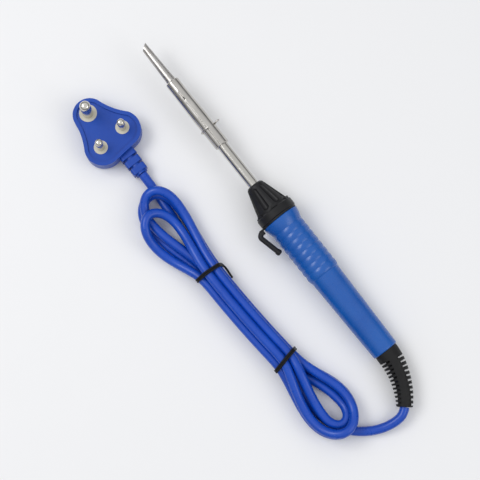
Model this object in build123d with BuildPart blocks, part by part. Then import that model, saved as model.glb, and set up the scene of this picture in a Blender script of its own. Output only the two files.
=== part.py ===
from build123d import *
from math import atan2, cos, degrees, hypot, pi, radians, sin, tan
import os

os.makedirs("parts", exist_ok=True)

# A light-duty mains soldering iron, lying on a table beside its cord, which is tied
# into a hank and ends in a round-pin three-pin plug.
# X runs along the iron towards its tip, Z is up and z = 0 is the table.
# Places along the iron are measured from the back of the handle.

# ---------------------------------------------------------------- driving dimensions (mm)
iron_length = 250.3            # back of the handle to the point of the bit
handle_length = 107.0
handle_back_radius = 8.75
handle_step_radius = 10.1      # front of the smooth stretch
grip_radius = 11.05            # over the ribs
handle_front_radius = 12.9
grip_back = 62.2
grip_front = 99.2
rib_count = 8
rib_depth = 0.45
handle_wall = 2.0

hook_ring_gap = 0.2            # end play of the hanging ring, each side
hook_ring_thickness = 1.1
flange_back = handle_length + 2 * hook_ring_gap + hook_ring_thickness
flange_front = 114.2
flange_radius = 13.15
nose_front = 134.0
nose_front_radius = 5.4
nose_root_radius = 11.7
spigot_radius = 9.0
spigot_back = 99.0
flute_count = 8

barrel_radius = 3.5
barrel_wall = 0.4
barrel_back = 112.0
barrel_front = 205.0

sleeve_back = 166.7
sleeve_front = 219.6
sleeve_radius = 4.9            # where the barrel holds the slot open
sleeve_open_front = 190.0
sleeve_front_radius = 4.6
sleeve_clearance = 0.05        # sliding fit on the barrel
sleeve_slot_front = 211.0
sleeve_slot_width = 0.8
sleeve_slot_angle = 14.0       # from the top, towards +Y

bit_shank_radius = 3.2
bit_tip_radius = 2.35
bit_back = 206.5
bit_cut_angle = 53.0           # between the cut face and the bit's axis

clip_place = 180.9
clip_wire_radius = 0.6
clip_clearance = 0.04

hook_rod_radius = 1.7
hook_reach = 18.15             # axis of the iron to the middle of the hook's rod
hook_tip_reach = 14.4
hook_tip_place = 90.6

relief_turn = 40.2             # how far the boot bends, in degrees
relief_bend_radius = 54.2
relief_root_radius = 7.8
relief_tip_radius = 5.2
relief_slots = 11

cord_radius = 3.0
cord_lie = cord_radius + 0.02  # height of the cord's middle where it lies on the table
core_radius = 1.0

hank_height = 17.8
bundle_radius = 8.9            # half the width of the tied bundle
tie_wire = 1.5

plug_height = 13.0
plug_heading = 6.0             # the plug's own axis, turned from X, in degrees
plug_origin = (90.5, 48.9)     # midway between the two current pins
pin_spacing = 19.05            # between the current pins
earth_offset = 22.2            # current pins to the earth pin
current_pin_radius = 2.54
current_pin_length = 14.9
earth_pin_radius = 3.53
earth_pin_length = 20.6

# ---------------------------------------------------------------- the iron's own planes
edge_radius = 1.0              # round the handle's back edge
edge_rise = 0.02
flange_chamfer = 0.4
# the iron rests on two rings: the end of the handle's back edge and the flange's back edge
rest_back = (edge_radius, handle_back_radius + edge_rise)
rest_front = (flange_back + flange_chamfer, flange_radius)
tilt = degrees(atan2(rest_front[1] - rest_back[1], rest_front[0] - rest_back[0]))
back_height = rest_back[1] * cos(radians(tilt)) - rest_back[0] * sin(radians(tilt))
hook_outside = hook_reach + hook_rod_radius
axis_y = -(hook_outside - flange_radius) / 2
axis_x = -iron_length / 2
along = (cos(radians(tilt)), 0, sin(radians(tilt)))
upward = (-sin(radians(tilt)), 0, cos(radians(tilt)))
back_point = (axis_x, axis_y, back_height)

cross_plane = Plane(origin=back_point, x_dir=(0, 1, 0), z_dir=along)
side_plane = Plane(origin=back_point, x_dir=along, z_dir=(0, -1, 0))
top_plane = Plane(origin=back_point, x_dir=along, z_dir=upward)
iron_axis = Axis(back_point, along)


def finish(piece, name):
    piece.part.label = name
    export_step(piece.part, f"parts/{name}.step")


def wire_section(path, radius):
    """A round section at the start of a path."""
    with BuildSketch(Plane(origin=path @ 0, z_dir=path % 0)) as section:
        Circle(radius)
    return section.sketch


def run_radii(points, limit=1000.0):
    """The largest arc that the two runs beside each corner leave room for."""
    radii = []
    for before, corner, after in zip(points, points[1:], points[2:]):
        run_in = Vector(*corner) - Vector(*before)
        run_out = Vector(*after) - Vector(*corner)
        turn = radians(run_in.get_angle(run_out))
        shorter = min(run_in.length, run_out.length)
        radii.append(min(limit, 0.45 * shorter / tan(turn / 2)))
    return radii


# ---------------------------------------------------------------- handle
rib_pitch = (grip_front - grip_back) / rib_count
handle_bore_back = grip_radius - handle_wall - 0.1
boot_hole_radius = 5.4
back_wall = 3.2

with BuildPart() as handle:
    with BuildSketch(side_plane):
        with BuildLine():
            smooth_back = Line((0, boot_hole_radius), (0, handle_back_radius - edge_radius))
            back_edge = RadiusArc(smooth_back @ 1, rest_back, edge_radius)
            taper = Line(back_edge @ 1, (grip_back - 0.8, handle_step_radius))
            step = Line(taper @ 1, (grip_back, grip_radius - rib_depth))
            last = step @ 1
            for rib in range(rib_count):
                rib_end = (grip_back + (rib + 1) * rib_pitch, grip_radius - rib_depth)
                rib_top = (grip_back + (rib + 0.5) * rib_pitch, grip_radius)
                ThreePointArc(last, rib_top, rib_end)
                last = rib_end
            flare = ThreePointArc(
                last,
                (grip_front + 4.2, grip_radius + 1.0),
                (handle_length - 0.4, handle_front_radius - 0.2),
            )
            front_edge = Line(flare @ 1, (handle_length, handle_front_radius - 0.5))
            front = Line(front_edge @ 1, (handle_length, spigot_radius))
            thread = Line(front @ 1, (spigot_back, spigot_radius))
            shoulder = Line(thread @ 1, (spigot_back, handle_bore_back - 0.3))
            bore_front = Line(shoulder @ 1, (grip_back, handle_bore_back - 0.3))
            bore_back = Line(bore_front @ 1, (back_wall, handle_back_radius - handle_wall))
            inner_face = Line(bore_back @ 1, (back_wall, boot_hole_radius))
            Line(inner_face @ 1, smooth_back @ 0)
        make_face()
    revolve(axis=iron_axis)
    # locating ribs that hold the terminal block and the cord clamp
    block_back = 70.0
    block_length = 13.0
    with BuildSketch(cross_plane.offset(block_back - 1.5)):
        Circle(handle_bore_back - 0.2)
        Circle(handle_bore_back - 1.6, mode=Mode.SUBTRACT)
    extrude(amount=1.5)
finish(handle, "handle")

# ---------------------------------------------------------------- nose cone
cavity_radius = 7.3
nose_bore_radius = barrel_radius + 0.05
flange_seat = 113.5            # the barrel's flange bears here

flute_back = (flange_front + 3.4, nose_root_radius - 0.45)
flute_front = (nose_front - 3.8, nose_front_radius + 2.0)
flute_back_radius = 2.3
flute_front_radius = 1.6
flute_length = hypot(flute_front[0] - flute_back[0], flute_front[1] - flute_back[1])
flute_start = side_plane.from_local_coords(flute_back)
flute_heading = side_plane.from_local_coords(flute_front).sub(flute_start)
flute_plane = Plane(origin=flute_start, x_dir=flute_heading, z_dir=(0, -1, 0))

with BuildPart() as flute:
    # one long drop-shaped hollow, laid along the cone's slope
    with BuildSketch(flute_plane):
        Circle(flute_back_radius)
        with Locations((flute_length, 0)):
            Circle(flute_front_radius)
        make_hull()
        split(bisect_by=Plane.XZ, keep=Keep.BOTTOM)
    revolve(axis=Axis(flute_start, flute_heading))

with BuildPart() as nose_cone:
    with BuildSketch(side_plane):
        with BuildLine():
            Polyline(
                (spigot_back, cavity_radius),
                (spigot_back, spigot_radius),
                (flange_back, spigot_radius),
                (flange_back, flange_radius - flange_chamfer),
                rest_front,
                (flange_front - 0.8, flange_radius),
                (flange_front, flange_radius - 0.8),
                (flange_front, nose_root_radius),
                (nose_front - 1.0, nose_front_radius + 0.55),
                (nose_front, nose_front_radius - 0.5),
                (nose_front, nose_bore_radius),
                (nose_front - 6.0, nose_bore_radius),
                (nose_front - 9.0, 4.6),
                (flange_seat, 5.6),
                (flange_seat, cavity_radius),
                close=True,
            )
        make_face()
    revolve(axis=iron_axis)
    # six keys round the flange's front step
    with BuildSketch(cross_plane.offset(flange_front)):
        with PolarLocations(nose_root_radius + 0.35, 6, start_angle=30):
            Rectangle(1.1, 4.4)
    extrude(amount=1.3)
    for index in range(flute_count):
        add(flute.part.rotate(iron_axis, index * 360 / flute_count + 22.5), mode=Mode.SUBTRACT)
finish(nose_cone, "nose_cone")

# ---------------------------------------------------------------- hanging hook
ring_back = handle_length + hook_ring_gap
ring_radius = spigot_radius + 0.08
rod_place = ring_back + hook_ring_thickness - hook_rod_radius - 0.15
rod_root = 13.5                # the rod begins clear of the handle's front edge

with BuildPart() as hook_rod:
    with BuildLine(top_plane) as hook_line:
        FilletPolyline(
            (rod_place, rod_root),
            (rod_place, hook_reach),
            (hook_tip_place, hook_tip_reach),
            radius=2.4,
        )
    add(wire_section(hook_line.line, hook_rod_radius))
    sweep()

with BuildPart() as hook_bead:
    with BuildSketch(Plane(origin=hook_line.line @ 1, z_dir=hook_line.line % 1).offset(-1.6)):
        Circle(hook_rod_radius + 0.35)
    extrude(amount=3.4)
    fillet(hook_bead.edges().filter_by(GeomType.CIRCLE), radius=1.2)

with BuildPart() as hook_ring:
    with BuildSketch(cross_plane.offset(ring_back)):
        Circle(handle_front_radius - 0.2)
        with Locations((13.2, 0)):
            Rectangle(6.0, 2.6)
        Circle(ring_radius, mode=Mode.SUBTRACT)
    extrude(amount=hook_ring_thickness)
    add(hook_rod.part)
    add(hook_bead.part)
finish(hook_ring, "hook_ring")

# ---------------------------------------------------------------- barrel and its flange
with BuildPart() as barrel:
    with BuildSketch(cross_plane.offset(barrel_back)):
        Circle(barrel_radius)
    extrude(amount=barrel_front - barrel_back)
    fillet(barrel.faces().sort_by(Axis(back_point, along))[-1].edges(), radius=0.8)
    with BuildSketch(cross_plane.offset(barrel_back)):
        Circle(barrel_radius - barrel_wall)
    extrude(amount=barrel_front - barrel_back - 1.0, mode=Mode.SUBTRACT)
finish(barrel, "barrel")

with BuildPart() as barrel_flange:
    with BuildSketch(cross_plane.offset(barrel_back)):
        Circle(cavity_radius - 0.1)
        Circle(barrel_radius, mode=Mode.SUBTRACT)
    extrude(amount=flange_seat - barrel_back)
finish(barrel_flange, "barrel_flange")

# ---------------------------------------------------------------- heating element
core_back = 116.0
core_front = 203.5
ceramic_radius = 1.7
winding_radius = 2.25
winding_back = 142.0
winding_front = 200.0
winding_pitch = 1.0
mica_thickness = 0.35
lead_radius = 0.35
lead_offset = 2.35

with BuildPart() as heater_core:
    with BuildSketch(cross_plane.offset(core_back)):
        Circle(ceramic_radius)
        with Locations((0, 0.6), (0, -0.6)):
            Circle(0.35, mode=Mode.SUBTRACT)
    extrude(amount=core_front - core_back)
finish(heater_core, "heater_core")

with BuildPart() as heater_winding:
    # the turns of resistance wire lie so close that they make one ribbed sleeve
    turns = int((winding_front - winding_back) / winding_pitch)
    with BuildSketch(side_plane):
        with BuildLine():
            Line((winding_front, ceramic_radius), (winding_back, ceramic_radius))
            Line((winding_back, ceramic_radius), (winding_back, winding_radius - 0.3))
            for turn in range(turns):
                start = winding_back + turn * winding_pitch
                ThreePointArc(
                    (start, winding_radius - 0.3),
                    (start + winding_pitch / 2, winding_radius),
                    (start + winding_pitch, winding_radius - 0.3),
                )
            Line((winding_front, winding_radius - 0.3), (winding_front, ceramic_radius))
        make_face()
    revolve(axis=iron_axis)
finish(heater_winding, "heater_winding")

with BuildPart() as mica_wrap:
    with BuildSketch(cross_plane.offset(winding_back - 2.0)):
        Circle(barrel_radius - barrel_wall - 0.05)
        Circle(barrel_radius - barrel_wall - 0.05 - mica_thickness, mode=Mode.SUBTRACT)
    extrude(amount=winding_front - winding_back + 3.0)
finish(mica_wrap, "mica_wrap")

# ---------------------------------------------------------------- insulator, leads and terminals
insulator_back = 106.0
terminal_spacing = 5.0
block_front = block_back + block_length
block_radius = handle_bore_back - 0.35
terminal_flat = 4.4            # the block's flat top, above the axis
wire_hole_radius = 1.3
earth_offset_inside = 5.3

with BuildPart() as insulator:
    with BuildSketch(cross_plane.offset(insulator_back)):
        Circle(cavity_radius - 0.1)
        with Locations((lead_offset, 0), (-lead_offset, 0)):
            Circle(lead_radius + 0.15, mode=Mode.SUBTRACT)
        with Locations((0, earth_offset_inside)):
            Circle(0.75, mode=Mode.SUBTRACT)
    extrude(amount=barrel_back - insulator_back)
finish(insulator, "insulator")


def heater_lead(side):
    with BuildPart() as lead:
        with BuildLine(top_plane) as route:
            FilletPolyline(
                (block_front - 6.0, side * terminal_spacing),
                (block_front + 3.0, side * terminal_spacing),
                (insulator_back - 6.0, side * lead_offset),
                (winding_back, side * lead_offset),
                radius=3.0,
            )
        add(wire_section(route.line, lead_radius))
        sweep()
    return lead


lead_live = heater_lead(1)
finish(lead_live, "lead_live")
lead_neutral = heater_lead(-1)
finish(lead_neutral, "lead_neutral")

with BuildPart() as earth_wire:
    with BuildLine(side_plane) as earth_route:
        FilletPolyline(
            (block_front - 6.0, 0),
            (block_front + 3.0, 0),
            (insulator_back - 6.0, earth_offset_inside),
            (barrel_back, earth_offset_inside),
            radius=3.0,
        )
    add(wire_section(earth_route.line, 0.6))
    sweep()
finish(earth_wire, "earth_wire")

with BuildPart() as terminal_block:
    with BuildSketch(cross_plane.offset(block_back)):
        Circle(block_radius)
        with Locations((0, terminal_flat + block_radius)):
            Rectangle(4 * block_radius, 2 * block_radius, mode=Mode.SUBTRACT)
        with Locations((-terminal_spacing, 0), (0, 0), (terminal_spacing, 0)):
            Circle(wire_hole_radius, mode=Mode.SUBTRACT)
    extrude(amount=block_length)
    screw_rows = (block_back + 3.5, block_front - 3.5)
    with BuildSketch(top_plane.offset(wire_hole_radius - 0.5)):
        for row_place in screw_rows:
            with Locations([(row_place, k * terminal_spacing) for k in (-1, 0, 1)]):
                Circle(1.25)
    extrude(amount=terminal_flat, mode=Mode.SUBTRACT)
finish(terminal_block, "terminal_block")

with BuildPart() as terminal_screws:
    with BuildSketch(top_plane.offset(wire_hole_radius)):
        for row_place in screw_rows:
            with Locations([(row_place, k * terminal_spacing) for k in (-1, 0, 1)]):
                Circle(1.2)
    extrude(amount=terminal_flat - wire_hole_radius + 0.8)
    with BuildSketch(top_plane.offset(terminal_flat + 0.8)):
        for row_place in screw_rows:
            with Locations([(row_place, k * terminal_spacing) for k in (-1, 0, 1)]):
                Rectangle(0.5, 3.0)
    extrude(amount=-0.6, mode=Mode.SUBTRACT)
finish(terminal_screws, "terminal_screws")

# ---------------------------------------------------------------- cord inside the handle
sheath_end = 52.0
clamp_back = 36.0
clamp_length = 6.0

with BuildPart() as cord_clamp:
    with BuildSketch(cross_plane.offset(clamp_back)):
        Circle(7.0)
        Circle(cord_radius, mode=Mode.SUBTRACT)
        with Locations((0, 5.0)):
            Rectangle(1.2, 6.0, mode=Mode.SUBTRACT)
    extrude(amount=clamp_length)
finish(cord_clamp, "cord_clamp")

core_place = 1.25


def cord_core(side, height):
    """A core from the sheath's end to its terminal, bent in its own plane."""
    start = Vector(sheath_end, side * core_place, height)
    spread = side * terminal_spacing
    with BuildPart() as core:
        with BuildLine() as route:
            FilletPolyline(
                top_plane.from_local_coords(start),
                top_plane.from_local_coords(Vector(sheath_end + 4.0, side * core_place, height)),
                top_plane.from_local_coords(Vector(block_back - 5.0, spread, 0)),
                top_plane.from_local_coords(Vector(block_back + 5.5, spread, 0)),
                radius=3.0,
            )
        add(wire_section(route.line, core_radius))
        sweep()
    return core


core_live = cord_core(1, -0.7)
finish(core_live, "core_live")
core_neutral = cord_core(-1, -0.7)
finish(core_neutral, "core_neutral")
core_earth = cord_core(0, 1.45)
finish(core_earth, "core_earth")


def bend_plane(distance):
    """The cross-section plane of the boot, a distance behind the handle."""
    angle = distance / relief_bend_radius
    place = (-relief_bend_radius * sin(angle), relief_bend_radius * (1 - cos(angle)), 0)
    heading = Vector(-cos(angle), sin(angle), 0)
    here = top_plane.from_local_coords(Vector(*place))
    ahead = top_plane.from_local_coords(Vector(*place) + heading)
    return Plane(origin=here, x_dir=ahead.sub(here).cross(Vector(*upward)), z_dir=ahead.sub(here))


relief_length = relief_bend_radius * radians(relief_turn)
boot_bore_radius = cord_radius + 0.02

with BuildPart() as cord_inner:
    with BuildLine(top_plane) as inner_route:
        straight = Line((sheath_end, 0), (0, 0))
        JernArc(start=straight @ 1, tangent=(-1, 0), radius=relief_bend_radius, arc_size=-relief_turn)
    add(wire_section(inner_route.line, cord_radius))
    sweep()
finish(cord_inner, "cord_inner")

# ---------------------------------------------------------------- strain relief
collar_length = 5.4
slot_width = 1.25
slot_pitch = (relief_length - collar_length - 1.2) / relief_slots
spine_half = 2.5
tube_radius = 4.2

with BuildPart() as strain_relief:
    stations = 6
    for index in range(stations):
        reach = relief_length * index / (stations - 1)
        share = max(0.0, (reach - collar_length) / (relief_length - collar_length))
        with BuildSketch(bend_plane(reach)):
            Circle(relief_root_radius + (relief_tip_radius - relief_root_radius) * share)
    loft()
    fillet(strain_relief.faces().sort_by(Axis.X)[0].edges(), radius=0.9)
    # neck through the handle's back wall and the inner collar that keeps it there
    with BuildSketch(cross_plane):
        Circle(boot_hole_radius)
    extrude(amount=back_wall)
    with BuildSketch(cross_plane.offset(back_wall)):
        Circle(boot_hole_radius + 1.0)
    extrude(amount=2.5)
    with BuildLine(top_plane) as bore_route:
        bore_run = Line((back_wall + 2.5, 0), (0, 0))
        JernArc(start=bore_run @ 1, tangent=(-1, 0), radius=relief_bend_radius, arc_size=-relief_turn)
    add(wire_section(bore_route.line, boot_bore_radius))
    sweep(mode=Mode.SUBTRACT)
    for index in range(relief_slots):
        for side in (1, -1):
            reach = collar_length + slot_pitch * (index + (0.5 if side > 0 else 0.85))
            with BuildSketch(bend_plane(reach)):
                Circle(11.0)
                Circle(tube_radius, mode=Mode.SUBTRACT)
                with Locations((-side * (11.0 - spine_half), 0)):
                    Rectangle(22.0, 24.0, mode=Mode.SUBTRACT)
            extrude(amount=slot_width / 2, both=True, mode=Mode.SUBTRACT)
finish(strain_relief, "strain_relief")

# ---------------------------------------------------------------- bit, sleeve and spring clip
cut_slope = tan(radians(bit_cut_angle))

with BuildPart() as bit:
    with BuildSketch(side_plane):
        with BuildLine():
            Polyline(
                (bit_back, 0),
                (bit_back, bit_shank_radius),
                (sleeve_front, bit_shank_radius),
                (iron_length, bit_tip_radius),
                (iron_length, 0),
                close=True,
            )
        make_face()
    revolve(axis=iron_axis)
    # the working face: an oblique cut whose long point is on the -Y side
    with BuildSketch(top_plane):
        with BuildLine():
            Polyline(
                (iron_length, -bit_tip_radius),
                (iron_length + 4.0, -bit_tip_radius),
                (iron_length + 4.0, bit_tip_radius + 2.0),
                (iron_length - (2 * bit_tip_radius + 2.0) / cut_slope, bit_tip_radius + 2.0),
                close=True,
            )
        make_face()
    extrude(amount=10, both=True, mode=Mode.SUBTRACT)
finish(bit, "bit")

with BuildPart() as bit_sleeve:
    with BuildSketch(side_plane):
        with BuildLine():
            Polyline(
                (sleeve_back, barrel_radius + sleeve_clearance),
                (sleeve_back, sleeve_radius - 0.3),
                (sleeve_back + 0.3, sleeve_radius),
                (sleeve_open_front, sleeve_radius),
                (sleeve_slot_front, sleeve_front_radius),
                (sleeve_front - 0.5, sleeve_front_radius),
                (sleeve_front, sleeve_front_radius - 0.5),
                (sleeve_front, bit_shank_radius),
                (bit_back, bit_shank_radius),
                (bit_back, barrel_radius + sleeve_clearance),
                close=True,
            )
        make_face()
    revolve(axis=iron_axis)
    with BuildSketch(top_plane):
        with BuildLine():
            Polyline(
                (sleeve_back - 1.0, -sleeve_slot_width / 2),
                (sleeve_slot_front, -sleeve_slot_width / 2),
                (sleeve_slot_front, sleeve_slot_width / 2),
                (sleeve_back - 1.0, sleeve_slot_width / 2),
                close=True,
            )
        make_face()
    slot = extrude(amount=8.0, mode=Mode.PRIVATE)
    add(slot.rotate(iron_axis, -sleeve_slot_angle), mode=Mode.SUBTRACT)
finish(bit_sleeve, "bit_sleeve")

clip_radius = sleeve_radius + clip_clearance + clip_wire_radius
clip_start_angle = 84.0        # by the slot, on top; degrees from +Y, up
clip_sweep = -278.0            # over the -Y side, underneath, and up to the +Y side
clip_plane = cross_plane.offset(clip_place)

with BuildPart() as sleeve_clip:
    with BuildLine(clip_plane) as clip_route:
        ring = CenterArc((0, 0), clip_radius, clip_start_angle, clip_sweep)
        leave = ring % 1
        JernArc(start=ring @ 1, tangent=(leave.Y, leave.Z), radius=1.5, arc_size=150)
    add(wire_section(clip_route.line, clip_wire_radius))
    sweep()
finish(sleeve_clip, "sleeve_clip")

# ---------------------------------------------------------------- free cord
relief_end = bend_plane(relief_length).origin
iron_run_points = [
    (relief_end.X, relief_end.Y, relief_end.Z),
    (-162.9, 12.5, 7.1),
    (-163.8, 18.2, 6.2),
    (-162.9, 24.9, 4.7),
    (-160.6, 31.6, 3.5),
    (-156.7, 38.2, cord_lie),
    (-151.7, 44.0, cord_lie),
]
iron_run_radii = run_radii(iron_run_points)

with BuildPart() as cord_iron_run:
    with BuildLine() as iron_run:
        FilletPolyline(*iron_run_points, radius=iron_run_radii)
    add(wire_section(iron_run.line, cord_radius))
    sweep()
finish(cord_iron_run, "cord_iron_run")

plug_run_points = [
    (60.5, 47.55, 5.3),
    (53.9, 47.6, 4.6),
    (47.3, 47.75, cord_lie),
]
plug_run_radii = run_radii(plug_run_points)

with BuildPart() as cord_plug_run:
    with BuildLine() as plug_run:
        FilletPolyline(*plug_run_points, radius=plug_run_radii)
    add(wire_section(plug_run.line, cord_radius))
    sweep()
finish(cord_plug_run, "cord_plug_run")

for name, run, solid in (
    ("cord_iron_run", iron_run, cord_iron_run),
    ("cord_plug_run", plug_run, cord_plug_run),
):
    run_length = run.wire().length
    tube_volume = run_length * pi * cord_radius**2
    print(name, "length", round(run_length, 1), "volume", round(solid.part.volume / tube_volume, 4))
print("iron run radii", [round(r, 1) for r in iron_run_radii])
print("plug run radii", [round(r, 1) for r in plug_run_radii])

# the hank: the outer shape of seven passes, folded at both ends and tied twice
tie_back = (-91.4, 49.8)
tie_front = (-18.2, 53.6)
back_loop = [((-135.3, 47.2), 16.7), ((-118.5, 47.1), 15.3), ((-97.5, 48.8), bundle_radius)]
front_loop = [((33.4, 54.4), 15.7), ((20.5, 56.4), 17.3), ((-10.5, 55.0), 9.5)]
bundle = [((-97.5, 49.3), bundle_radius), ((-55.0, 52.4), bundle_radius), ((-12.0, 53.8), bundle_radius)]

with BuildPart() as cord_hank:
    for outline in (back_loop, bundle, front_loop):
        with BuildSketch():
            for centre, radius in outline:
                with Locations(centre):
                    Circle(radius)
            make_hull()
        extrude(amount=hank_height)
finish(cord_hank, "cord_hank")

bundle_turn = degrees(atan2(tie_front[1] - tie_back[1], tie_front[0] - tie_back[0]))


def tie_plane(centre, turn):
    heading = (cos(radians(turn)), sin(radians(turn)), 0)
    return Plane(origin=(centre[0], centre[1], 0), x_dir=(-heading[1], heading[0], 0), z_dir=heading)


tie_inside = bundle_radius + 0.6
tie_skew = {"tie_lower": -12.0, "tie_upper": 0.0}
tie_place = {"tie_lower": tie_back, "tie_upper": tie_front}

ties = {}
for name, centre in tie_place.items():
    with BuildPart() as ties[name]:
        stretch = 1 / cos(radians(tie_skew[name]))
        with BuildSketch(tie_plane(centre, bundle_turn + tie_skew[name])):
            with Locations((0, hank_height / 2 + 0.1)):
                Rectangle(2 * (tie_inside * stretch + tie_wire), hank_height + 0.2)
                Rectangle(2 * tie_inside * stretch, hank_height + 0.2, mode=Mode.SUBTRACT)
            with Locations((0, hank_height + 0.2 + tie_wire / 2)):
                Rectangle(2 * (tie_inside * stretch + tie_wire), tie_wire)
        extrude(amount=tie_wire / 2, both=True)
    finish(ties[name], name)

# ---------------------------------------------------------------- plug
plug_plane = Plane(origin=(plug_origin[0], plug_origin[1], 0)).rotated((0, 0, plug_heading))
live_place = (0, pin_spacing / 2)
neutral_place = (0, -pin_spacing / 2)
earth_place = (earth_offset, 0)
pin_places = (live_place, neutral_place, earth_place)
lobes = [((20.6, 0), 10.9), ((-1.0, 8.3), 12.3), ((-1.0, -8.3), 12.3)]
face_step = 1.2                # the working face stands lower than the rim
rim_width = 2.4
waist_centre = (32.7, 54.5)     # the body's long sides are slightly hollow
waist_radius = 45.0
relief_entry = -12.0           # where the plug's own boot leaves the body
boot_height = 5.3              # middle of the boot above the table
current_boss = 4.55
earth_boss = 5.8
carrier_low = 6.0
carrier_top = 9.0

boss_top = plug_height - face_step + 0.15
shank_low = carrier_low - 1.5


def plug_pin(radius, length, shank_radius, tip_rim):
    """A solid pin: a thin shank with a collar, held in the insert, and the contact above the boss."""
    with BuildPart() as pin:
        with BuildSketch(Plane.XY.offset(boss_top)):
            Circle(radius)
        extrude(amount=plug_height - face_step + length - boss_top)
        fillet(pin.faces().sort_by(Axis.Z)[-1].edges(), radius=radius - tip_rim)
        with BuildSketch(Plane.XY.offset(shank_low)):
            Circle(shank_radius)
        extrude(amount=boss_top - shank_low)
        with BuildSketch(Plane.XY.offset(carrier_top)):
            Circle(shank_radius + 1.2)
        extrude(amount=-1.2)
    return pin


current_pin = plug_pin(current_pin_radius, current_pin_length, 2.0, 0.4)
big_pin = plug_pin(earth_pin_radius, earth_pin_length, 2.9, 0.6)

pins = {}
for name, place, shape in (
    ("live_pin", live_place, current_pin),
    ("neutral_pin", neutral_place, current_pin),
    ("earth_pin", earth_place, big_pin),
):
    with BuildPart() as pins[name]:
        add(shape.part.moved(plug_plane.location * Location((place[0], place[1], 0))))
    finish(pins[name], name)

with BuildPart() as pin_carrier:
    with BuildSketch(plug_plane.offset(carrier_low)):
        for centre, radius in lobes:
            with Locations(centre):
                Circle(radius - 4.0)
        make_hull()
    extrude(amount=carrier_top - carrier_low)
    with BuildSketch(plug_plane.offset(carrier_top)):
        with Locations(live_place, neutral_place):
            Circle(current_boss)
        with Locations(earth_place):
            Circle(earth_boss)
    extrude(amount=boss_top - carrier_top)
    for pin in pins.values():
        add(pin.part, mode=Mode.SUBTRACT)
finish(pin_carrier, "pin_carrier")

core_low = shank_low - core_radius - 0.1

with BuildPart() as plug_cores:
    for row, place in enumerate(pin_places):
        start_side = (2.15, -2.15, 0)[row]
        with BuildPart(mode=Mode.PRIVATE) as plug_core:
            with BuildLine() as core_route:
                FilletPolyline(
                    plug_plane.from_local_coords(Vector(relief_entry, start_side, boot_height - 0.5)),
                    plug_plane.from_local_coords(Vector(relief_entry + 4.5, start_side, core_low)),
                    plug_plane.from_local_coords(Vector(place[0] + 1.0, place[1], core_low)),
                    radius=1.6,
                )
            add(wire_section(core_route.line, core_radius))
            sweep()
        add(plug_core.part)
finish(plug_cores, "plug_cores")

boot_blocks = 3
boot_front = 80.5              # inside the body's edge
boot_back = 60.5               # where the cord leaves the plug's boot
boot_y = plug_run_points[0][1]
boot_width = 11.4
boot_thickness = 9.6
boot_block = 4.3

with BuildPart() as plug_body:
    with BuildSketch(plug_plane):
        for centre, radius in lobes:
            with Locations(centre):
                Circle(radius)
        make_hull()
    extrude(amount=plug_height)
    fillet(plug_body.faces().sort_by(Axis.Z)[0].edges(), radius=2.6)
    with BuildSketch(plug_plane):
        for side in (1, -1):
            with Locations((waist_centre[0], side * waist_centre[1])):
                Circle(waist_radius)
    extrude(amount=plug_height, mode=Mode.SUBTRACT)
    with BuildSketch(plug_plane.offset(plug_height)):
        for centre, radius in lobes:
            with Locations(centre):
                Circle(radius - rim_width)
        make_hull()
        for side in (1, -1):
            with Locations((waist_centre[0], side * waist_centre[1])):
                Circle(waist_radius + rim_width, mode=Mode.SUBTRACT)
    extrude(amount=-face_step, mode=Mode.SUBTRACT)
    # the boot: a core round the cord with blocks standing on it
    boot_plane = Plane(origin=(boot_front, boot_y, boot_height), x_dir=(0, 1, 0), z_dir=(-1, 0, 0))
    boot_length = boot_front - boot_back
    with BuildSketch(boot_plane):
        Circle(4.1)
    extrude(amount=boot_length)
    for index in range(boot_blocks):
        with BuildSketch(boot_plane.offset(2.4 + index * (boot_block + 1.6))):
            RectangleRounded(boot_width - index * 0.5, boot_thickness - index * 0.4, 1.6)
        extrude(amount=boot_block)
    with BuildSketch(boot_plane.offset(boot_length)):
        Circle(cord_radius + 0.02)
    extrude(amount=-boot_length + 0.5, mode=Mode.SUBTRACT)
    add(pin_carrier.part, mode=Mode.SUBTRACT)
    for pin in pins.values():
        add(pin.part, mode=Mode.SUBTRACT)
    add(plug_cores.part, mode=Mode.SUBTRACT)
finish(plug_body, "plug_body")

with BuildPart() as cord_plug_inner:
    with BuildSketch(boot_plane.offset(boot_length)):
        Circle(cord_radius)
    extrude(amount=-boot_length + 3.0)
finish(cord_plug_inner, "cord_plug_inner")
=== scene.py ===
import math

import bpy
from mathutils import Matrix, Vector


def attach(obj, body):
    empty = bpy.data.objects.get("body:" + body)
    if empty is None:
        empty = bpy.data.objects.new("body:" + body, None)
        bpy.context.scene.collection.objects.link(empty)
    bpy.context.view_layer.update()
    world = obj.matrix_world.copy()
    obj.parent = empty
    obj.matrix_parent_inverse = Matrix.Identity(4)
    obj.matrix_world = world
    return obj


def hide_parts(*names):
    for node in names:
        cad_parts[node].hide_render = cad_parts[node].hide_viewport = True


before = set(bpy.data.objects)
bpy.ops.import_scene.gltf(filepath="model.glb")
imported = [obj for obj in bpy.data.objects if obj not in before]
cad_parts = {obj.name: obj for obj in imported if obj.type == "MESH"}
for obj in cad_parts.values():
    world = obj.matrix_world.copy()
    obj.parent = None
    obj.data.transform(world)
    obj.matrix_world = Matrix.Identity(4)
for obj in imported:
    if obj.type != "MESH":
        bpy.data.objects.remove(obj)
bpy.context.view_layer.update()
scene = bpy.context.scene
MM = 0.001

# ------------------------------------------------------------------ materials


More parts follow.
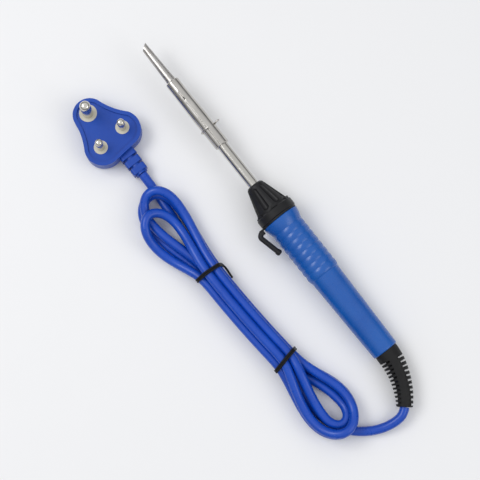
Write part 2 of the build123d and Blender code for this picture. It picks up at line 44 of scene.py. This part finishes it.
class Finish:
    """A material whose colour, roughness and surface vary with procedural noise."""

    def __init__(self, name, colour, roughness, metallic=0.0, specular=0.35):
        self.name = name
        self.material = bpy.data.materials.new(name)
        self.material.use_nodes = True
        self.tree = self.material.node_tree
        self.shader = self.tree.nodes["Principled BSDF"]
        self.colour = colour
        self.shader.inputs["Base Color"].default_value = (*colour, 1)
        self.shader.inputs["Roughness"].default_value = roughness
        self.shader.inputs["Metallic"].default_value = metallic
        self.shader.inputs["Specular IOR Level"].default_value = 0.5 if metallic else specular
        self.coords = self.tree.nodes.new("ShaderNodeTexCoord")

    def node(self, kind, **values):
        made = self.tree.nodes.new(kind)
        for name, value in values.items():
            made.inputs[name.replace("_", " ")].default_value = value
        return made

    def link(self, source, target):
        self.tree.links.new(source, target)

    def noise(self, scale, detail=4.0, stretch=(1, 1, 1)):
        mapping = self.node("ShaderNodeMapping", Scale=stretch)
        noise = self.node("ShaderNodeTexNoise", Scale=scale, Detail=detail)
        self.link(self.coords.outputs["Object"], mapping.inputs["Vector"])
        self.link(mapping.outputs["Vector"], noise.inputs["Vector"])
        return noise.outputs["Fac"]

    def spread(self, source, low, high):
        """Maps noise, which lies mostly between 0.3 and 0.7, to low..high."""
        made = self.node("ShaderNodeMapRange", From_Min=0.3, From_Max=0.7, To_Min=low, To_Max=high)
        self.link(source, made.inputs["Value"])
        return made.outputs["Result"]

    def rough(self, low, high, scale=220.0, stretch=(1, 1, 1)):
        self.link(self.spread(self.noise(scale, 5.0, stretch), low, high), self.shader.inputs["Roughness"])
        return self

    def tint(self, other, amount, scale=60.0, stretch=(1, 1, 1)):
        """Blends the colour towards another in soft patches."""
        mix = self.tree.nodes.new("ShaderNodeMixRGB")
        mix.inputs["Color1"].default_value = (*self.colour, 1)
        mix.inputs["Color2"].default_value = (*other, 1)
        self.link(self.spread(self.noise(scale, 3.0, stretch), 0.0, amount), mix.inputs["Fac"])
        self.link(mix.outputs["Color"], self.shader.inputs["Base Color"])
        return self

    def bump(self, depth, scale, stretch=(1, 1, 1)):
        bump = self.node("ShaderNodeBump", Strength=0.6, Distance=depth)
        self.link(self.noise(scale, 6.0, stretch), bump.inputs["Height"])
        self.link(bump.outputs["Normal"], self.shader.inputs["Normal"])
        return self


finishes = {
    made.name: made.material for made in (
        Finish("blue_handle", (0.005, 0.085, 0.38), 0.28, specular=0.5)
        .tint((0.007, 0.110, 0.44), 0.7, 45.0)
        .rough(0.20, 0.34, 260.0)
        .bump(0.00002, 900.0),
        Finish("black_nose", (0.010, 0.010, 0.011), 0.42, specular=0.25)
        .tint((0.016, 0.016, 0.018), 0.8, 80.0)
        .rough(0.34, 0.52, 300.0)
        .bump(0.00006, 1200.0),
        Finish("plated_steel", (0.58, 0.56, 0.53), 0.2, 1.0)
        .tint((0.46, 0.44, 0.41), 0.7, 90.0)
        .rough(0.12, 0.24, 500.0)
        .bump(0.000003, 900.0),
        Finish("barrel_steel", (0.60, 0.59, 0.56), 0.2, 1.0)
        .tint((0.46, 0.43, 0.38), 0.6, 50.0, (0.4, 1, 1))
        .rough(0.12, 0.26, 420.0, (0.15, 1, 1))
        .bump(0.000003, 1600.0, (0.05, 1, 1)),
        Finish("bit_metal", (0.58, 0.57, 0.56), 0.3, 1.0)
        .tint((0.36, 0.33, 0.30), 0.7, 160.0)
        .rough(0.22, 0.40, 600.0)
        .bump(0.000004, 1100.0),
        Finish("ceramic_white", (0.72, 0.70, 0.64), 0.6).rough(0.5, 0.75).bump(0.00004, 1500.0),
        Finish("mica", (0.50, 0.42, 0.28), 0.35).tint((0.36, 0.28, 0.16), 0.8).rough(0.2, 0.5),
        Finish("resistance_wire", (0.33, 0.30, 0.27), 0.4, 1.0).rough(0.3, 0.55),
        Finish("brass_parts", (0.62, 0.44, 0.17), 0.3, 1.0)
        .tint((0.45, 0.30, 0.11), 0.6)
        .rough(0.2, 0.42),
        Finish("pin_metal", (0.70, 0.68, 0.63), 0.18, 1.0)
        .tint((0.55, 0.52, 0.46), 0.6, 150.0)
        .rough(0.10, 0.22, 700.0)
        .bump(0.000002, 1500.0),
        Finish("black_rubber", (0.010, 0.010, 0.011), 0.55, specular=0.2)
        .tint((0.016, 0.016, 0.016), 0.8, 120.0)
        .rough(0.46, 0.66, 400.0)
        .bump(0.00008, 1300.0),
        Finish("blue_cord", (0.003, 0.056, 0.42), 0.32, specular=0.45)
        .tint((0.004, 0.075, 0.50), 0.7, 70.0)
        .rough(0.24, 0.38, 300.0)
        .bump(0.00003, 1000.0),
        Finish("blue_plug", (0.003, 0.050, 0.35), 0.36)
        .tint((0.005, 0.064, 0.41), 0.7, 60.0)
        .rough(0.30, 0.46, 240.0)
        .bump(0.00008, 900.0),
        Finish("cream_insert", (0.60, 0.57, 0.48), 0.42)
        .tint((0.50, 0.47, 0.38), 0.7, 110.0)
        .rough(0.36, 0.52, 300.0)
        .bump(0.00005, 1200.0),
        Finish("core_red", (0.42, 0.02, 0.015), 0.4).rough(0.34, 0.5),
        Finish("core_black", (0.02, 0.02, 0.02), 0.4).rough(0.34, 0.5),
        Finish("core_green", (0.03, 0.25, 0.05), 0.4).rough(0.34, 0.5),
        Finish("tie_black", (0.008, 0.008, 0.008), 0.5, specular=0.2)
        .rough(0.42, 0.62, 500.0)
        .bump(0.00006, 1500.0),
    )
}

finish_nodes = {
    "blue_handle": "handle",
    "black_nose": "nose_cone hook_ring cord_clamp",
    "barrel_steel": "barrel barrel_flange",
    "bit_metal": "bit",
    "plated_steel": "bit_sleeve sleeve_clip",
    "ceramic_white": "heater_core insulator terminal_block",
    "resistance_wire": "heater_winding lead_live lead_neutral",
    "mica": "mica_wrap",
    "core_green": "earth_wire core_earth",
    "brass_parts": "terminal_screws",
    "core_red": "core_live plug_cores",
    "core_black": "core_neutral",
    "blue_cord": "cord_inner cord_plug_inner",
    "black_rubber": "strain_relief",
    "blue_plug": "plug_body",
    "cream_insert": "pin_carrier",
    "pin_metal": "live_pin neutral_pin earth_pin",
}
for finish, names in finish_nodes.items():
    for name in names.split():
        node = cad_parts[name]
        node.data.materials.clear()
        node.data.materials.append(finishes[finish])

# ----------------------------------------------------------------------- cord

CORD_RADIUS = 3.0                # mm, as are all the places below
LIE = 3.02                       # centre of a cord lying on the table
TIES = {"lower": (-91.4, 49.8), "upper": (-18.2, 53.4)}
STRAND_SPACING = 6.05
BUNDLE_BOW = 3.6
BUNDLE_HEIGHT = 8.9
SLOT_ANGLES = {"b": 15, "a": 75, "c": 135, "d": 195, "e": 255, "f": 315}


def bundle_place(strand, x):
    """Where a strand of the tied bundle lies: one in the middle and six round it."""
    (x0, y0), (x1, y1) = TIES["lower"], TIES["upper"]
    t = (x - x0) / (x1 - x0)
    centre = y0 + (y1 - y0) * t + BUNDLE_BOW * t * (1 - t)
    if strand == "g":
        return (x, centre, BUNDLE_HEIGHT)
    turn = math.radians(SLOT_ANGLES[strand])
    return (x, centre + STRAND_SPACING * math.cos(turn), BUNDLE_HEIGHT + STRAND_SPACING * math.sin(turn))


def ease(t, flare):
    return (1 - flare) * t * t * (3 - 2 * t) + flare * math.sin(math.pi * t / 2)


def fold(tie, start, end, wide, tip, y_start, y_end, flares, heights):
    """A strand leaves the bundle, opens out, turns back round its tip and comes in again.

    wide is the x where the fold is widest and tip its furthest x; y_start and y_end are its sides there.
    """
    x0 = TIES[tie][0]
    heights = iter(heights)
    points = []
    for t in (0.25, 0.5, 0.75):
        y = bundle_place(start, x0)[1]
        points.append((x0 + (wide - x0) * t, y + (y_start - y) * ease(t, flares[0]), next(heights)))
    middle = (y_start + y_end) / 2
    half = (y_start - y_end) / 2
    for step in range(7):
        turn = math.radians(90 - 30 * step)
        points.append((wide + (tip - wide) * math.cos(turn), middle + half * math.sin(turn), next(heights)))
    for t in (0.75, 0.5, 0.25):
        y = bundle_place(end, x0)[1]
        points.append((x0 + (wide - x0) * t, y + (y_end - y) * ease(t, flares[1]), next(heights)))
    return points


def bundle_pass(strand, forward):
    start, end = TIES["lower"][0], TIES["upper"][0]
    places = [start + (end - start) * step / 4 for step in range(5)]
    if not forward:
        places.reverse()
    return [bundle_place(strand, x) for x in places]


iron_run = [
    (-160.1, 9.45, 7.3), (-162.9, 12.5, 7.1), (-163.8, 18.2, 6.2), (-162.9, 24.9, 4.7),
    (-160.6, 31.6, 3.5), (-156.7, 38.2, LIE), (-151.7, 44.0, LIE),
]
hank_in = [
    (-146.6, 48.3, LIE), (-140.4, 51.5, LIE), (-133.4, 53.5, LIE), (-125.8, 54.2, LIE),
    (-117.6, 53.9, 3.4), (-109.6, 53.0, 5.6), (-101.0, 51.0, 9.0),
]
hank_out = [
    (-9, 51.8, LIE), (0, 51.8, LIE), (8, 51.0, LIE), (16, 50.3, LIE),
    (24, 49.6, LIE), (32, 48.9, LIE), (40, 48.2, LIE),
]
plug_run = [(47.3, 47.75, LIE), (53.9, 47.6, 4.6), (60.5, 47.55, 5.3)]

fold_t1 = fold(
    "upper", "g", "c", wide=31, tip=46.7, y_start=63.4, y_end=41.9, flares=(0, 0),
    heights=[8.4, 8.1, 8.0, 8.1, 8.6, 10.6, 13.2, 14.8, 14.2, 11.2, 9.4, 9.8, 11.4],
)
fold_t2 = fold(
    "upper", "f", "d", wide=30, tip=45.9, y_start=66.5, y_end=42.6, flares=(0, 0.1),
    heights=[3.1, LIE, LIE, LIE, LIE, 4.2, 6.2, 9.1, 8.2, 4.7, 3.1, 3.4, 5.1],
)
fold_b = fold(
    "lower", "c", "f", wide=-134, tip=-144.5, y_start=53.2, y_end=38.3, flares=(0.5, 0.9),
    heights=[14.4, 11.2, 9.2, 9.05, 9.05, 9.05, 9.05, 8.6, 7.0, 5.4, 4.2, 3.2, 3.05],
)
fold_a = fold(
    "lower", "d", "a", wide=-131, tip=-149.9, y_start=33.3, y_end=60.9, flares=(0, 0.7),
    heights=[8.9, 9.1, 9.2, 9.3, 10.4, 13.2, 15.2, 14.2, 11.2, 9.6, 9.6, 11.4, 13.8],
)
fold_a2 = fold(
    "lower", "b", "e", wide=-131, tip=-150.2, y_start=61.3, y_end=32.5, flares=(0.3, 0.8),
    heights=[8.6, 5.3, 3.2, 3.05, 4.4, 7.4, 9.1, 6.0, 3.05, LIE, LIE, LIE, LIE],
)
fold_d = fold(
    "upper", "a", "b", wide=20, tip=35.2, y_start=50.5, y_end=71.0, flares=(0, 0.5),
    heights=[14.3, 13.0, 10.2, 9.1, 9.8, 12.0, 14.2, 14.7, 13.8, 9.6, 6.5, 6.2, 8.2],
)

cord_points = []
for stretch in (
    iron_run, hank_in, bundle_pass("g", True), fold_t1, bundle_pass("c", False), fold_b,
    bundle_pass("f", True), fold_t2, bundle_pass("d", False), fold_a, bundle_pass("a", True),
    fold_d, bundle_pass("b", False), fold_a2, bundle_pass("e", True), hank_out, plug_run,
):
    cord_points.extend(stretch)


def tube(name, points, radius, material, closed=False):
    """A round tube along one NURBS spline; points in mm."""
    data = bpy.data.curves.new(name, "CURVE")
    data.dimensions = "3D"
    data.bevel_depth = radius * MM
    data.bevel_resolution = 6
    data.resolution_u = 8
    data.use_fill_caps = not closed
    spline = data.splines.new("NURBS")
    spline.points.add(len(points) - 1)
    for place, point in zip(spline.points, points):
        place.co = (point[0] * MM, point[1] * MM, point[2] * MM, 1)
    spline.order_u = 3
    spline.use_cyclic_u = closed
    spline.use_endpoint_u = not closed
    data.materials.append(material)
    piece = bpy.data.objects.new(name, data)
    scene.collection.objects.link(piece)
    return piece


cord = tube("cord", cord_points, CORD_RADIUS, finishes["blue_cord"])
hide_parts("cord_iron_run", "cord_hank", "cord_plug_run")
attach(cord, "iron")

# ----------------------------------------------------------------------- ties

TIE_RADIUS = 0.7
BAND_PITCH = 1.3                 # each tie goes round twice


def tie_loop(tie):
    """Round the six outer strands, pressed flat where it goes under them."""
    x = TIES[tie][0]
    points = []
    for angle in SLOT_ANGLES.values():
        turn = math.radians(angle)
        for aside in (-24, 0, 24):
            out = math.radians(angle + aside)
            reach = CORD_RADIUS + TIE_RADIUS
            y = bundle_place("g", x)[1] + STRAND_SPACING * math.cos(turn) + reach * math.cos(out)
            z = BUNDLE_HEIGHT + STRAND_SPACING * math.sin(turn) + reach * math.sin(out)
            points.append((x, y, max(z, TIE_RADIUS)))
    return points


tie_pieces = []
for node, tie, skew in (("tie_lower", "lower", -0.21), ("tie_upper", "upper", 0.05)):
    centre = bundle_place("g", TIES[tie][0])[1]
    turns = []
    for shift in (0.0, BAND_PITCH):
        turns.append([(x + shift + (y - centre) * skew, y, z) for x, y, z in tie_loop(tie)])
    piece = tube(node + "_band", turns[0], TIE_RADIUS, finishes["tie_black"], closed=True)
    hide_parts(node)
    second = tube(node + "_band_two", turns[1], TIE_RADIUS, finishes["tie_black"], closed=True)
    tie_pieces += [piece, second]
    for band in (piece, second):
        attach(band, "iron")

# the upper tie's end: a short curl at its low side, then a tail lying back along the hank
tail_y = bundle_place("g", TIES["upper"][0])[1] - 9.3
tail_route = [
    (-17.6, 0.3, 9.4), (-18.6, -0.7, 8.6), (-19.4, -0.2, 7.4), (-18.3, 0.2, 6.8),
    (-19.6, -0.9, 6.3), (-22.4, -1.0, 6.1), (-25.6, -0.6, 6.5), (-28.8, -0.4, 6.6),
]
tail = tube("tie_tail", [(x, tail_y + y, z) for x, y, z in tail_route], TIE_RADIUS, finishes["tie_black"])
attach(tail, "iron")
tie_pieces.append(tail)

# ------------------------------------------------------- floor, light, camera

floor_data = bpy.data.meshes.new("floor")
FLOOR_HALF = 6
floor_corners = [(x * FLOOR_HALF, y * FLOOR_HALF, 0) for x, y in ((-1, -1), (1, -1), (1, 1), (-1, 1))]
floor_data.from_pydata(floor_corners, [], [(0, 1, 2, 3)])
floor = bpy.data.objects.new("floor", floor_data)
scene.collection.objects.link(floor)
floor_data.materials.append(Finish("floor_pale", (0.84, 0.84, 0.845), 0.7).rough(0.62, 0.78, 40.0).material)

world = bpy.data.worlds.new("studio")
world.use_nodes = True
sky = world.node_tree
sky_coords = sky.nodes.new("ShaderNodeTexCoord")
sky_split = sky.nodes.new("ShaderNodeSeparateXYZ")
# brighter overhead than at the horizon, so that round metal shows dark edges
sky_range = sky.nodes.new("ShaderNodeMapRange")
for socket, value in (("From Min", 0.05), ("From Max", 0.75), ("To Min", 0.04), ("To Max", 0.88)):
    sky_range.inputs[socket].default_value = value
sky.links.new(sky_coords.outputs["Generated"], sky_split.inputs["Vector"])
sky.links.new(sky_split.outputs["Z"], sky_range.inputs["Value"])
sky.links.new(sky_range.outputs["Result"], sky.nodes["Background"].inputs["Strength"])
sky.nodes["Background"].inputs["Color"].default_value = (0.97, 0.98, 1.0, 1)
scene.world = world


def softbox(name, place, aim, size, power):
    data = bpy.data.lights.new(name, "AREA")
    data.shape = "RECTANGLE"
    data.size = size[0]
    data.size_y = size[1]
    data.energy = power
    lamp = bpy.data.objects.new(name, data)
    lamp.location = place
    lamp.rotation_euler = (Vector(aim) - Vector(place)).to_track_quat("-Z", "Y").to_euler()
    scene.collection.objects.link(lamp)


LIGHT_AIM = (-0.02, 0.02, 0)
softbox("key", (0.55, 0.45, 1.0), LIGHT_AIM, (0.7, 0.5), 5.0)
softbox("fill", (-0.8, -0.5, 0.8), LIGHT_AIM, (0.8, 0.6), 2.5)

camera_place = Vector((-0.12000, 0.10937, 0.86917))
camera_aim = Vector((-0.01184, 0.02421, 0))
back = (camera_place - camera_aim).normalized()
right = Vector((-0.6186, -0.7857, 0))
right = (right - back * right.dot(back)).normalized()
up = back.cross(right)
camera_data = bpy.data.cameras.new("camera")
camera_data.sensor_width = 36
camera_data.lens = 102.3
camera = bpy.data.objects.new("camera", camera_data)
camera.matrix_world = Matrix.Translation(camera_place) @ Matrix((right, up, back)).transposed().to_4x4()
scene.collection.objects.link(camera)
scene.camera = camera
scene.view_settings.view_transform = "Standard"
